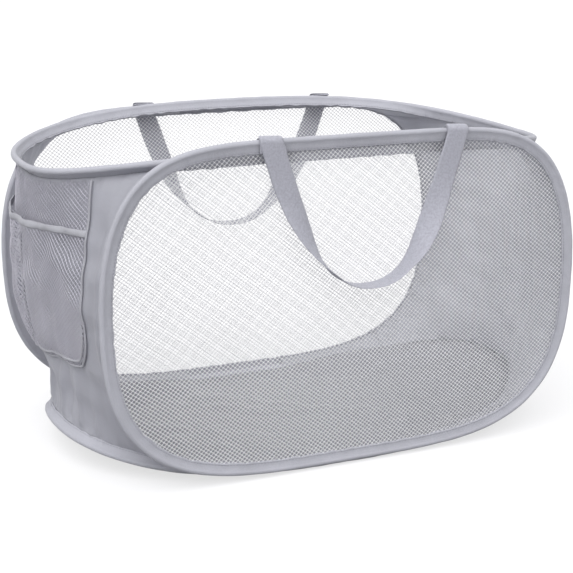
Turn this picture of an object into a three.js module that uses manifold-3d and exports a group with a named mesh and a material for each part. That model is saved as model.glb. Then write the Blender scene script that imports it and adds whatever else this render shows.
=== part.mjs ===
// Pop up laundry hamper: four spring-wire hoops in sewn fabric bindings, hinged edge to edge as a square tube.
// +X along the length with the pocket on the -X end, the front panel faces -Y, +Z up, millimetres.
// The origin is the centre of the underside. The hamper folds towards +Y, as a parallelogram.
import Module from "manifold-3d";
import * as THREE from "three";
import { mergeVertices } from "three/addons/utils/BufferGeometryUtils.js";

// Spring wire and the ferrule that closes each loop
const wireRadius = 1.5;
const wireSides = 6;
const wireEndGap = 2;
const ferruleWall = 0.5;
const ferruleClearance = 0.15;
const ferruleLength = 22;
const ferruleSides = 8;

// Binding: a tape folded round the wire, whose two legs are sewn to the panel's edge
const fit = 0.3;
const tapeWidth = 12.5;
const tapeNose = 3.5;
const tapeHollow = 2.72;
const tapeLeg = 0.9;
const panelThickness = 1;
const noseSegments = 6;
const hollowSegments = 6;
const slotHalf = panelThickness / 2 + fit;
const legHalf = slotHalf + tapeLeg;
const legReach = tapeWidth - tapeNose;
const panelInset = 3.3;
const panelFree = legReach + 1.5;

// How the hoops nest: the angle below level at which one lies under the next, for the fold to have room
const nestReach = 2 * tapeNose + fit;
const nestAngle = THREE.MathUtils.degToRad(31);
const nestDepth = nestReach * Math.cos(nestAngle);
const nestHeight = nestReach * Math.sin(nestAngle);

// Front and back hoops, upright
const panelSpacing = 339.3;
const panelHalfHeight = 175;
const frontHalfLength = 273.3;
const frontShift = 4.2;
const backHalfLength = 289.4;
const backShift = 1.2;
const panelFlare = 3.4;
const panelTopPowers = { length: 5.7, width: 2.2 };
const panelFootPowers = { length: 3.9, width: 2.7 };
const frontDepth = -panelSpacing / 2;
const backDepth = panelSpacing / 2;
const backFoot = tapeNose;
const frontFoot = backFoot + nestHeight;
const backTop = backFoot + 2 * panelHalfHeight;
const frontTop = frontFoot + 2 * panelHalfHeight;

// Rim hoop round the mouth, with ends that the end panels draw down
const rimHalfLength = 302.9;
const rimPowers = { length: 2.3, width: 2.75 };
const rimFrontGap = 5.5;
const rimDrop = 12;
const rimDroop = 25.5;
const rimDroopPower = 2.8;
const rimFrontDepth = frontDepth + rimFrontGap;
const rimBackDepth = backDepth - nestDepth;
const rimCentreDepth = (rimFrontDepth + rimBackDepth) / 2;
const rimHalfDepth = (rimBackDepth - rimFrontDepth) / 2;
const rimTwistStartShare = 0.6;
const rimTwistEndShare = 0.84;

// Base hoop, with ends that the end panels draw up
const baseHalfLength = 286.4;
const baseShift = 6.6;
const basePowers = { length: 2.8, width: 2.4 };
const baseRise = 32.3;
const baseRisePower = 3.1;
const baseFrontDepth = frontDepth + nestDepth;
const baseBackDepth = backDepth - nestReach;
const baseCentreDepth = (baseFrontDepth + baseBackDepth) / 2;
const baseHalfDepth = (baseBackDepth - baseFrontDepth) / 2;
const floorLengthShare = 0.72;
const floorDepthShare = 0.85;

// Steps round a hoop: part of them follow the length, part of them the turning
const hoopSteps = 48;
const outlineSamples = 1440;
const bisectionSteps = 40;
const turnWeight = 230;

// Nets of the two long sides: staggered diamond gaps
const netColumn = 30;
const netRow = 26;
const netGapShare = 0.78;
const netMargin = 10;
const cutOverrun = 1;

// End panels: from the base hoop up to the rim, between the sides of the upright hoops
const cornerReach = THREE.MathUtils.degToRad(50);
const rimBackReach = THREE.MathUtils.degToRad(33);
const endColumns = 20;
const endRows = 12;
const seamGap = 0.5;
const relaxPasses = endColumns * endColumns + endRows * endRows;
const pleatDepth = 2.5;
const pleatCount = 5;
const pleatTopShare = 0.28;
const endSwell = 13;
const endSwellPower = 0.6;

// Pocket and net strip sewn on the left end panel
const overlayGap = 1.2;
const netThickness = 1;
const hemThickness = 2;
const pipingThickness = 1.6;
const pocketFrontShare = 0.15;
const pocketBackShare = 0.85;
const pocketFootShare = 4 / 12;
const pocketHemShare = 9.5 / 12;
const hemHeightShare = 0.03;
const stripTopShare = 0.985;
const pipingWidthShare = 0.012;
const pocketBulge = 10;
const pocketSpread = 0.7;
const pocketRoundShare = 0.8;
const pocketColumns = 9;
const pocketRows = 5;
const stripRows = 2;
const threadShare = 0.3;
const shareGap = 0.002;
const pipingRows = 12;

// Handles: webbing straps that hang from tabs sewn over the top of the front and back hoops
const strapWidth = 25;
const strapThickness = 1.4;
const strapSegments = 36;
const strapDrop = 155;
const strapPower = 2.4;
const strapTwistStartShare = 0.92;
const strapTwistEndShare = 0.35;
const strapStandOff = 9;
const strapFarCorner = 2;
const tabThickness = 1;
const tabDrop = 11;
const tabSegments = 8;
const tabMargin = 1;
const hingeRise = 1;
const frontTabWrap = THREE.MathUtils.degToRad(185);
const backTabWrap = THREE.MathUtils.degToRad(110);
const frontHandleHalf = 107;
const frontHandleShift = 16;
const backHandleHalf = 118;
const backHandleShift = 8;

// Colours and finishes
const bindingColour = 0xabacb6;
const nylonColour = 0xbabac2;
const netColour = 0xb7b7c0;
const webbingColour = 0xadadb8;
const steelColour = 0x8f9196;
const clothRoughness = 0.85;
const nylonRoughness = 0.55;
const steelRoughness = 0.35;
const steelMetalness = 0.9;

const fullTurn = Math.PI * 2;
const upward = new THREE.Vector3(0, 0, 1);
const backward = new THREE.Vector3(0, 1, 0);
const hamper = new THREE.Group();
const manifold = await Module();
manifold.setup();

function cloth(colour) {
  return new THREE.MeshStandardMaterial({ color: colour, roughness: clothRoughness, metalness: 0 });
}

function nylon() {
  return new THREE.MeshStandardMaterial({ color: nylonColour, roughness: nylonRoughness, metalness: 0 });
}

function steel() {
  return new THREE.MeshStandardMaterial({
    color: steelColour,
    roughness: steelRoughness,
    metalness: steelMetalness,
  });
}

function addPiece(name, geometry, material) {
  geometry.computeVertexNormals();
  const mesh = new THREE.Mesh(geometry, material);
  mesh.name = name;
  hamper.add(mesh);
}

function smooth(share) {
  const held = THREE.MathUtils.clamp(share, 0, 1);
  return held * held * (3 - 2 * held);
}

// A solid from points and triangles, turned to face outwards
function solid(points, triangles) {
  let volume = 0;
  for (const [a, b, c] of triangles) {
    volume += points[a].dot(new THREE.Vector3().crossVectors(points[b], points[c]));
  }
  const faces = volume > 0 ? triangles : triangles.map(([a, b, c]) => [a, c, b]);
  const geometry = new THREE.BufferGeometry().setFromPoints(points);
  geometry.setIndex(faces.flat());
  return geometry;
}

// A solid through rings of points, either closed on itself or capped at both ends.
// The corners in crossed start the sides whose quads are cut along their other diagonal.
function ringSolid(rings, closed, crossed = []) {
  const size = rings[0].length;
  const triangles = [];
  const lengths = closed ? rings.length : rings.length - 1;
  for (let ring = 0; ring < lengths; ring += 1) {
    const here = ring * size;
    const next = ((ring + 1) % rings.length) * size;
    for (let corner = 0; corner < size; corner += 1) {
      const other = (corner + 1) % size;
      const [a, b, c, d] = [here + corner, here + other, next + other, next + corner];
      if (crossed.includes(corner)) {
        triangles.push([a, b, d], [b, c, d]);
      } else {
        triangles.push([a, b, c], [a, c, d]);
      }
    }
  }
  if (!closed) {
    const last = (rings.length - 1) * size;
    for (let corner = 1; corner < size - 1; corner += 1) {
      triangles.push([0, corner + 1, corner]);
      triangles.push([last, last + corner, last + corner + 1]);
    }
  }
  return solid(rings.flat(), triangles);
}

// Outline with flattened sides: the point in a direction from its middle, in shares of its half sizes
function outlinePoint(angle, powers) {
  const along = Math.abs(Math.cos(angle));
  const across = Math.abs(Math.sin(angle));
  let low = 0;
  let high = 2;
  for (let step = 0; step < bisectionSteps; step += 1) {
    const middle = (low + high) / 2;
    const inside = (middle * along) ** powers.length + (middle * across) ** powers.width < 1;
    low = inside ? middle : low;
    high = inside ? high : middle;
  }
  return [low * Math.cos(angle), low * Math.sin(angle)];
}

function uprightHoop(halfLength, shift, depth, foot) {
  return (angle) => {
    const powers = Math.sin(angle) > 0 ? panelTopPowers : panelFootPowers;
    const [x, z] = outlinePoint(angle, powers);
    const length = halfLength + panelFlare * z;
    return new THREE.Vector3(shift + x * length, depth, foot + panelHalfHeight * (1 + z));
  };
}

function rimHoop(angle) {
  const [x, y] = outlinePoint(angle, rimPowers);
  const level = frontTop + (rimDrop * (y - 1)) / 2;
  const height = level - rimDroop * Math.abs(x) ** rimDroopPower;
  return new THREE.Vector3(x * rimHalfLength, rimCentreDepth + y * rimHalfDepth, height);
}

function baseHoop(angle) {
  const [x, y] = outlinePoint(angle, basePowers);
  const height = tapeNose + baseRise * Math.abs(x) ** baseRisePower;
  return new THREE.Vector3(baseShift + x * baseHalfLength, baseCentreDepth + y * baseHalfDepth, height);
}

const frontHoop = uprightHoop(frontHalfLength, frontShift, frontDepth, frontFoot);
const backHoop = uprightHoop(backHalfLength, backShift, backDepth, backFoot);

// Angles at even steps of length and turning along a curve, both ends included
function spacedAngles(curve, from, to, count, weight) {
  const points = [];
  for (let sample = 0; sample <= outlineSamples; sample += 1) {
    points.push(curve(from + ((to - from) * sample) / outlineSamples));
  }
  const travelled = [0];
  for (let sample = 1; sample <= outlineSamples; sample += 1) {
    const step = points[sample].clone().sub(points[sample - 1]);
    const next = sample < outlineSamples ? points[sample + 1].clone().sub(points[sample]) : step;
    travelled.push(travelled[sample - 1] + step.length() + weight * step.angleTo(next));
  }
  const angles = [];
  let sample = 0;
  for (let index = 0; index <= count; index += 1) {
    const target = (travelled[outlineSamples] * index) / count;
    while (sample < outlineSamples - 1 && travelled[sample + 1] < target) {
      sample += 1;
    }
    const share = (target - travelled[sample]) / (travelled[sample + 1] - travelled[sample]);
    angles.push(from + ((to - from) * (sample + share)) / outlineSamples);
  }
  return angles;
}

// Stations round a hoop: the wire's point, the way the legs point and the way across them
function stationsOf(curve, legAim) {
  const angles = spacedAngles(curve, 0, fullTurn, hoopSteps, turnWeight).slice(0, hoopSteps);
  const points = angles.map(curve);
  return points.map((point, index) => {
    const before = points[(index + hoopSteps - 1) % hoopSteps];
    const after = points[(index + 1) % hoopSteps];
    const arriving = point.clone().sub(before).normalize();
    const leaving = after.clone().sub(point).normalize();
    const tangent = arriving.add(leaving).normalize();
    const leg = legAim(point, tangent);
    const across = new THREE.Vector3().crossVectors(tangent, leg);
    return { point, leg, across, angle: angles[index] };
  });
}

function legInPanel(point, tangent) {
  return new THREE.Vector3().crossVectors(tangent, backward).normalize();
}

function legLevel(point, tangent) {
  return new THREE.Vector3().crossVectors(upward, tangent).normalize();
}

// The rim's legs hang down at the front and the ends, and turn level along the back
function legOfRim(point, tangent) {
  const level = legLevel(point, tangent);
  const down = new THREE.Vector3().crossVectors(level, tangent).normalize();
  const share = (point.y - rimCentreDepth) / rimHalfDepth;
  const turned = smooth((share - rimTwistStartShare) / (rimTwistEndShare - rimTwistStartShare));
  const angle = (Math.PI / 2) * (1 - turned);
  return level.multiplyScalar(Math.cos(angle)).addScaledVector(down, Math.sin(angle));
}

function atStation(station, inward, across) {
  return station.point.clone().addScaledVector(station.leg, inward).addScaledVector(station.across, across);
}

// The folded tape in section: two legs from a slot, round a hollow that holds the wire
function tapeSection() {
  const noseStart = Math.asin(legHalf / tapeNose);
  const hollowStart = Math.asin(slotHalf / tapeHollow);
  const section = [[legReach, legHalf]];
  for (let step = 0; step <= noseSegments; step += 1) {
    const angle = noseStart + ((fullTurn - 2 * noseStart) * step) / noseSegments;
    section.push([tapeNose * Math.cos(angle), tapeNose * Math.sin(angle)]);
  }
  section.push([legReach, -legHalf]);
  section.push([legReach, -slotHalf]);
  for (let step = hollowSegments; step >= 0; step -= 1) {
    const angle = hollowStart + ((fullTurn - 2 * hollowStart) * step) / hollowSegments;
    section.push([tapeHollow * Math.cos(angle), tapeHollow * Math.sin(angle)]);
  }
  section.push([legReach, slotHalf]);
  return section;
}

function circleSection(radius, sides) {
  const section = [];
  for (let side = 0; side < sides; side += 1) {
    const angle = (fullTurn * side) / sides;
    section.push([radius * Math.cos(angle), radius * Math.sin(angle)]);
  }
  return section;
}

function sweep(stations, section, closed) {
  const rings = stations.map((station) => section.map(([inward, across]) => atStation(station, inward, across)));
  return ringSolid(rings, closed);
}

// Binding, wire and ferrule of one hoop; the wire's ends meet halfway along the last step
function addHoop(name, stations) {
  addPiece(`${name}_binding`, sweep(stations, tapeSection(), true), cloth(bindingColour));

  const first = stations[0];
  const last = stations[stations.length - 1];
  const middle = first.point.clone().add(last.point).multiplyScalar(0.5);
  const along = first.point.clone().sub(last.point).normalize();
  const leg = first.leg.clone().add(last.leg);
  leg.addScaledVector(along, -leg.dot(along)).normalize();
  const across = new THREE.Vector3().crossVectors(along, leg);
  const beside = (distance) => ({ point: middle.clone().addScaledVector(along, distance), leg, across });
  const path = [beside(wireEndGap / 2), ...stations, beside(-wireEndGap / 2)];
  addPiece(`${name}_wire`, sweep(path, circleSection(wireRadius, wireSides), false), steel());

  const bore = wireRadius + ferruleClearance;
  const inner = circleSection(bore, ferruleSides);
  const outer = circleSection(bore + ferruleWall, ferruleSides);
  const ends = [beside(-ferruleLength / 2), beside(ferruleLength / 2)];
  const rings = inner.map((small, side) => {
    const large = outer[side];
    return [
      atStation(ends[0], ...small),
      atStation(ends[0], ...large),
      atStation(ends[1], ...large),
      atStation(ends[1], ...small),
    ];
  });
  addPiece(`${name}_ferrule`, ringSolid(rings, true), steel());
}

const frontStations = stationsOf(frontHoop, legInPanel);
const backStations = stationsOf(backHoop, legInPanel);
const rimStations = stationsOf(rimHoop, legOfRim);
const baseStations = stationsOf(baseHoop, legLevel);
addHoop("base", baseStations);
addHoop("front", frontStations);
addHoop("back", backStations);
addHoop("rim", rimStations);

// Distance from a point to the nearest edge of an outline, negative outside it
function insetOf(outline, x, z) {
  let nearest = Infinity;
  let inside = false;
  outline.forEach((start, index) => {
    const end = outline[(index + 1) % outline.length];
    const edge = end.clone().sub(start);
    const offset = new THREE.Vector2(x, z).sub(start);
    const share = THREE.MathUtils.clamp(offset.dot(edge) / edge.lengthSq(), 0, 1);
    nearest = Math.min(nearest, offset.sub(edge.clone().multiplyScalar(share)).length());
    const crosses = start.y > z !== end.y > z;
    if (crosses && x < start.x + ((z - start.y) / (end.y - start.y)) * (end.x - start.x)) {
      inside = !inside;
    }
  });
  return inside ? nearest : -nearest;
}

// A closed geometry as a solid that can be cut
function cuttable(geometry) {
  geometry.deleteAttribute("normal");
  geometry.deleteAttribute("uv");
  const merged = mergeVertices(geometry);
  return new manifold.Manifold(
    new manifold.Mesh({
      numProp: 3,
      vertProperties: merged.attributes.position.array,
      triVerts: Uint32Array.from(merged.index.array),
    }),
  );
}

// Flat net in an upright hoop, its edge held in the binding's slot
function addNet(name, stations, shift, depth, foot) {
  const outline = stations.map((station) => {
    const edge = atStation(station, panelInset, 0);
    return new THREE.Vector2(edge.x, edge.z);
  });
  const gaps = [];
  const rows = Math.ceil(panelHalfHeight / netRow);
  const columns = Math.ceil(backHalfLength / netColumn);
  for (let row = -rows; row <= rows; row += 1) {
    for (let column = -columns; column <= columns; column += 1) {
      if ((row + column) % 2 !== 0) {
        continue;
      }
      const x = shift + column * netColumn;
      const z = foot + panelHalfHeight + row * netRow;
      const gap = [
        new THREE.Vector2(x - netColumn * netGapShare, z),
        new THREE.Vector2(x, z - netRow * netGapShare),
        new THREE.Vector2(x + netColumn * netGapShare, z),
        new THREE.Vector2(x, z + netRow * netGapShare),
      ];
      if (gap.every((corner) => insetOf(outline, corner.x, corner.y) > netMargin)) {
        gaps.push(new THREE.Shape(gap));
      }
    }
  }
  const sheet = new THREE.ExtrudeGeometry(new THREE.Shape(outline), { depth: panelThickness, bevelEnabled: false });
  const cuts = new THREE.ExtrudeGeometry(gaps, { depth: panelThickness + 2 * cutOverrun, bevelEnabled: false });
  cuts.translate(0, 0, -cutOverrun);
  const mesh = cuttable(sheet).subtract(cuttable(cuts)).getMesh();
  const net = new THREE.BufferGeometry();
  net.setAttribute("position", new THREE.BufferAttribute(mesh.vertProperties, mesh.numProp));
  net.setIndex(new THREE.BufferAttribute(mesh.triVerts, 1));
  net.rotateX(Math.PI / 2);
  net.translate(0, depth + panelThickness / 2, 0);
  addPiece(name, net, cloth(netColour));
}

addNet("front_net", frontStations, frontShift, frontDepth, frontFoot);
addNet("back_net", backStations, backShift, backDepth, backFoot);

// Base panel: held in the base hoop's slot, and lying flat on the floor within it
function addBasePanel() {
  const half = panelThickness / 2;
  const held = baseStations.map((station) => atStation(station, panelInset, 0));
  const free = baseStations.map((station) => atStation(station, panelFree, 0));
  const floor = baseStations.map((station) => {
    const x = baseShift + (station.point.x - baseShift) * floorLengthShare;
    const y = baseCentreDepth + (station.point.y - baseCentreDepth) * floorDepthShare;
    return new THREE.Vector3(x, y, half);
  });
  const middle = new THREE.Vector3(baseShift, baseCentreDepth, half);
  const sheet = [...held, ...free, ...floor, middle];
  const points = [];
  for (const side of [half, -half]) {
    points.push(...sheet.map((point) => point.clone().addScaledVector(upward, side)));
  }
  const triangles = [];
  const addBoth = (a, b, c) => {
    triangles.push([a, b, c], [a + sheet.length, c + sheet.length, b + sheet.length]);
  };
  for (let index = 0; index < hoopSteps; index += 1) {
    const next = (index + 1) % hoopSteps;
    for (const ring of [0, hoopSteps]) {
      addBoth(ring + index, ring + next, ring + hoopSteps + next);
      addBoth(ring + index, ring + hoopSteps + next, ring + hoopSteps + index);
    }
    addBoth(2 * hoopSteps + index, 2 * hoopSteps + next, 3 * hoopSteps);
    triangles.push([index, index + sheet.length, next + sheet.length], [index, next + sheet.length, next]);
  }
  addPiece("base_panel", solid(points, triangles), nylon());
}

addBasePanel();

function normalsOf(grid) {
  return grid.map((row, j) =>
    row.map((point, i) => {
      const across = row[Math.min(i + 1, row.length - 1)].clone().sub(row[Math.max(i - 1, 0)]);
      const above = grid[Math.min(j + 1, grid.length - 1)][i].clone().sub(grid[Math.max(j - 1, 0)][i]);
      return across.cross(above).normalize();
    }),
  );
}

// A sheet through a grid of points, rows first, with some of its cells left out as gaps
function gridSolid(grid, thickness, isGap) {
  const rows = grid.length;
  const columns = grid[0].length;
  const count = rows * columns;
  const normals = normalsOf(grid);
  const points = [];
  for (const side of [thickness / 2, -thickness / 2]) {
    grid.forEach((row, j) => {
      row.forEach((point, i) => points.push(point.clone().addScaledVector(normals[j][i], side)));
    });
  }
  const kept = (j, i) => j >= 0 && i >= 0 && j < rows - 1 && i < columns - 1 && !isGap(j, i);
  const triangles = [];
  const addWall = (from, to) => {
    triangles.push([from, from + count, to + count], [from, to + count, to]);
  };
  for (let j = 0; j < rows - 1; j += 1) {
    for (let i = 0; i < columns - 1; i += 1) {
      if (!kept(j, i)) {
        continue;
      }
      const [a, b] = [j * columns + i, j * columns + i + 1];
      const [c, d] = [a + columns, b + columns];
      triangles.push([a, b, d], [a, d, c]);
      triangles.push([a + count, d + count, b + count], [a + count, c + count, d + count]);
      if (!kept(j - 1, i)) {
        addWall(a, b);
      }
      if (!kept(j + 1, i)) {
        addWall(d, c);
      }
      if (!kept(j, i - 1)) {
        addWall(c, a);
      }
      if (!kept(j, i + 1)) {
        addWall(b, d);
      }
    }
  }
  return solid(points, triangles);
}

const noGap = () => false;
const everySecond = (j, i) => j % 2 === 1 && i % 2 === 1;

// Points along one end of a hoop, from front to back or from foot to top
function endCurve(curve, side, from, to, count) {
  const seen = (offset) => curve(side > 0 ? offset : Math.PI - offset);
  return spacedAngles(seen, from, to, count, 0).map(seen);
}

// Offsets from a hoop's end that take in every station between two of them, with the widest steps halved
function stationOffsets(stations, side, from, to, count) {
  const turned = stations.map((station) => {
    const offset = side > 0 ? station.angle : Math.PI - station.angle;
    return Math.atan2(Math.sin(offset), Math.cos(offset));
  });
  const offsets = [from, ...turned.filter((offset) => offset > from && offset < to), to];
  offsets.sort((a, b) => a - b);
  while (offsets.length <= count) {
    const steps = offsets.slice(1).map((offset, index) => offset - offsets[index]);
    const widest = steps.indexOf(Math.max(...steps));
    offsets.splice(widest + 1, 0, (offsets[widest] + offsets[widest + 1]) / 2);
  }
  return offsets;
}

// A point beside the straight steps between stations, at a distance along the legs
function besideSteps(stations, side, offset, inward) {
  const raw = side > 0 ? offset : Math.PI - offset;
  const angle = ((raw % fullTurn) + fullTurn) % fullTurn;
  const after = stations.findIndex((station) => station.angle > angle);
  const next = after < 0 ? 0 : after;
  const last = (next + hoopSteps - 1) % hoopSteps;
  const start = stations[last].angle;
  const end = after < 0 ? fullTurn : stations[next].angle;
  const share = (angle - start) / (end - start);
  return atStation(stations[last], inward, 0).lerp(atStation(stations[next], inward, 0), share);
}

// Middle surface of an end panel, spanned between the four hoops round it
function endGrid(side) {
  const start = tapeNose + seamGap + fit;
  const foot = endCurve(baseHoop, side, -cornerReach, cornerReach, endColumns);
  foot.forEach((point) => point.addScaledVector(upward, start));
  const offsets = stationOffsets(rimStations, side, -cornerReach, rimBackReach, endColumns);
  const top = offsets.map((offset) => besideSteps(rimStations, side, offset, panelFree));
  const held = offsets.map((offset) => besideSteps(rimStations, side, offset, panelInset));
  const nearSide = endCurve(frontHoop, side, -cornerReach, cornerReach, endRows - 2);
  nearSide.forEach((point) => point.addScaledVector(backward, tapeNose + fit));
  const farSide = endCurve(backHoop, side, -cornerReach, cornerReach, endRows - 2);
  farSide.forEach((point) => point.addScaledVector(backward, -tapeNose - fit));
  const near = [foot[0], ...nearSide, top[0]];
  const far = [foot[endColumns], ...farSide, top[endColumns]];
  const grid = near.map((edge, j) =>
    foot.map((low, i) => {
      const between = edge.clone().lerp(far[j], i / endColumns);
      return j === 0 ? low : j === endRows ? top[i] : between;
    }),
  );
  for (let pass = 0; pass < relaxPasses; pass += 1) {
    for (let j = 1; j < endRows; j += 1) {
      for (let i = 1; i < endColumns; i += 1) {
        const point = new THREE.Vector3().add(grid[j - 1][i]).add(grid[j + 1][i]);
        grid[j][i] = point.add(grid[j][i - 1]).add(grid[j][i + 1]).divideScalar(4);
      }
    }
  }
  for (let j = 1; j < endRows; j += 1) {
    for (let i = 1; i < endColumns; i += 1) {
      const s = i / endColumns;
      const fading = smooth(1 - j / endRows / pleatTopShare) * Math.sin(Math.PI * s);
      const swelling = (Math.sin(Math.PI * s) * Math.sin((Math.PI * j) / endRows)) ** endSwellPower;
      const pleats = pleatDepth * fading * Math.sin(fullTurn * pleatCount * s);
      grid[j][i].x += side * (endSwell * swelling + pleats);
    }
  }
  grid.push(held);
  return grid;
}

const leftGrid = endGrid(-1);
const rightGrid = endGrid(1);
addPiece("left_end_panel", gridSolid(leftGrid, panelThickness, noGap), nylon());
addPiece("right_end_panel", gridSolid(rightGrid, panelThickness, noGap), nylon());

const leftNormals = normalsOf(leftGrid);

// A point over the left end panel, from shares across and up it, at a distance outside its middle surface
function overEnd(s, t, distance) {
  const column = Math.min(Math.floor(s * endColumns), endColumns - 1);
  const row = Math.min(Math.floor(t * endRows), endRows - 1);
  const within = (field) => {
    const low = field[row][column].clone().lerp(field[row][column + 1], s * endColumns - column);
    const high = field[row + 1][column].clone().lerp(field[row + 1][column + 1], s * endColumns - column);
    return low.lerp(high, t * endRows - row);
  };
  return within(leftGrid).addScaledVector(within(leftNormals).normalize(), distance);
}

// Shares from one to another, in turn a thread and a gap, with a thread at both ends
function threadShares(from, to, gaps) {
  const pitch = (to - from) / (gaps + threadShare);
  const shares = [];
  for (let gap = 0; gap <= gaps; gap += 1) {
    shares.push(from + gap * pitch, from + (gap + threadShare) * pitch);
  }
  return shares;
}

function evenShares(from, to, count) {
  const shares = [];
  for (let index = 0; index <= count; index += 1) {
    shares.push(from + ((to - from) * index) / count);
  }
  return shares;
}

// How far the pocket stands out over the end panel
function bulgeAt(s, t) {
  const across = THREE.MathUtils.clamp((s - pocketFrontShare) / (pocketBackShare - pocketFrontShare), 0, 1);
  const up = Math.max(0, (t - pocketFootShare) / (pocketHemShare - pocketFootShare));
  const round = Math.sin(Math.PI * across) ** pocketSpread;
  return pocketBulge * round * Math.sin(Math.PI * pocketRoundShare * up) ** pocketSpread;
}

function addOverlay(name, sShares, tShares, thickness, bulges, isGap, colour) {
  const clear = panelThickness / 2 + overlayGap + thickness / 2;
  const grid = tShares.map((t) => sShares.map((s) => overEnd(s, t, clear + (bulges ? bulgeAt(s, t) : 0))));
  addPiece(name, gridSolid(grid, thickness, isGap), cloth(colour));
}

const pocketShares = threadShares(pocketFrontShare, pocketBackShare, pocketColumns);
const netFoot = pocketFootShare + pipingWidthShare + shareGap;
const netRowShares = threadShares(netFoot, pocketHemShare - shareGap, pocketRows);
addOverlay("pocket_net", pocketShares, netRowShares, netThickness, true, everySecond, netColour);

const hemTop = pocketHemShare + hemHeightShare;
const hemShares = [pocketHemShare, hemTop];
addOverlay("pocket_hem", pocketShares, hemShares, hemThickness, true, noGap, bindingColour);

const stripShares = threadShares(hemTop + shareGap, stripTopShare, stripRows);
addOverlay("end_net_strip", pocketShares, stripShares, netThickness, false, everySecond, netColour);

const pipingShares = evenShares(pocketFootShare, stripTopShare, pipingRows);
const frontPiping = [pocketFrontShare - pipingWidthShare - shareGap, pocketFrontShare - shareGap];
const backPiping = [pocketBackShare + shareGap, pocketBackShare + shareGap + pipingWidthShare];
const footPiping = [pocketFootShare, pocketFootShare + pipingWidthShare];
addOverlay("pocket_front_piping", frontPiping, pipingShares, pipingThickness, false, noGap, bindingColour);
addOverlay("pocket_back_piping", backPiping, pipingShares, pipingThickness, false, noGap, bindingColour);
const footShares = evenShares(pocketFrontShare, pocketBackShare, endColumns);
addOverlay("pocket_foot_piping", footShares, footPiping, pipingThickness, false, noGap, bindingColour);

// Height of the strap over its lowest point, at a share of its half span
function strapPoint(share) {
  return new THREE.Vector3(share, 0, Math.abs(share) ** strapPower);
}

// Strap hanging in a U, turned edge on to the panel at the bottom of its loop. Its two faces are cut along
// the same diagonals, so that the twisted webbing keeps its thickness.
function addHandle(name, half, shift, depth, top, outward) {
  const spread = new THREE.Vector3(half, 1, strapDrop);
  const curve = (share) => strapPoint(share).multiply(spread);
  const shares = spacedAngles(curve, -1, 1, strapSegments, 0);
  const plane = depth + outward * (tapeNose + fit + tabThickness + fit + strapThickness / 2);
  const bottom = top + hingeRise - strapDrop;
  const rings = shares.map((share, index) => {
    const before = curve(shares[Math.max(index - 1, 0)]);
    const after = curve(shares[Math.min(index + 1, strapSegments)]);
    const isEnd = Math.abs(share) === 1;
    const tangent = isEnd ? upward.clone().multiplyScalar(share) : after.sub(before).normalize();
    const turned = smooth((strapTwistStartShare - Math.abs(share)) / (strapTwistStartShare - strapTwistEndShare));
    const angle = (Math.PI / 2) * turned;
    const flat = new THREE.Vector3().crossVectors(tangent, backward);
    const width = flat.clone().multiplyScalar(Math.cos(angle)).addScaledVector(backward, Math.sin(angle));
    const face = new THREE.Vector3().crossVectors(tangent, width);
    const centre = curve(share);
    centre.x += shift;
    centre.y = plane + outward * strapStandOff * Math.sin(angle);
    centre.z += bottom;
    const reach = [strapWidth / 2, strapThickness / 2];
    const corners = [[-1, -1], [1, -1], [1, 1], [-1, 1]];
    return corners.map(([w, f]) =>
      centre.clone().addScaledVector(width, w * reach[0]).addScaledVector(face, f * reach[1]),
    );
  });
  addPiece(name, ringSolid(rings, false, [strapFarCorner]), cloth(webbingColour));
}

// Tab: a strip down the outside of the hoop's top run and over its crown
function addTab(name, x, depth, top, outward, wrap) {
  const inner = tapeNose + fit;
  const outer = inner + tabThickness;
  const profile = [[inner, -tabDrop], [outer, -tabDrop]];
  for (let step = 0; step <= tabSegments; step += 1) {
    const angle = (wrap * step) / tabSegments;
    profile.push([outer * Math.cos(angle), outer * Math.sin(angle)]);
  }
  for (let step = tabSegments; step >= 0; step -= 1) {
    const angle = (wrap * step) / tabSegments;
    profile.push([inner * Math.cos(angle), inner * Math.sin(angle)]);
  }
  const shape = new THREE.Shape(profile.map(([out, up]) => new THREE.Vector2(out, up)));
  const width = strapWidth + 2 * tabMargin;
  const extruded = new THREE.ExtrudeGeometry(shape, { depth: width, bevelEnabled: false });
  extruded.translate(0, 0, -width / 2);
  const toHoop = new THREE.Matrix4();
  toHoop.makeBasis(
    new THREE.Vector3(0, outward, 0),
    upward,
    new THREE.Vector3(outward, 0, 0),
  );
  extruded.applyMatrix4(toHoop);
  extruded.translate(x, depth, top);
  addPiece(name, extruded, cloth(webbingColour));
}

addHandle("front_handle", frontHandleHalf, frontHandleShift, frontDepth, frontTop, -1);
addHandle("back_handle", backHandleHalf, backHandleShift, backDepth, backTop, 1);
addTab("front_left_tab", frontHandleShift - frontHandleHalf, frontDepth, frontTop, -1, frontTabWrap);
addTab("front_right_tab", frontHandleShift + frontHandleHalf, frontDepth, frontTop, -1, frontTabWrap);
addTab("back_left_tab", backHandleShift - backHandleHalf, backDepth, backTop, 1, backTabWrap);
addTab("back_right_tab", backHandleShift + backHandleHalf, backDepth, backTop, 1, backTabWrap);

export default hamper;
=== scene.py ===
# Pop up laundry hamper: sewn bindings round four hoops, knitted nets, gathered nylon ends and base, a net
# pocket and two webbing handles. Metres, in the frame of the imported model.
from math import cos, exp, log, pi, radians, sin, sqrt

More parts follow.
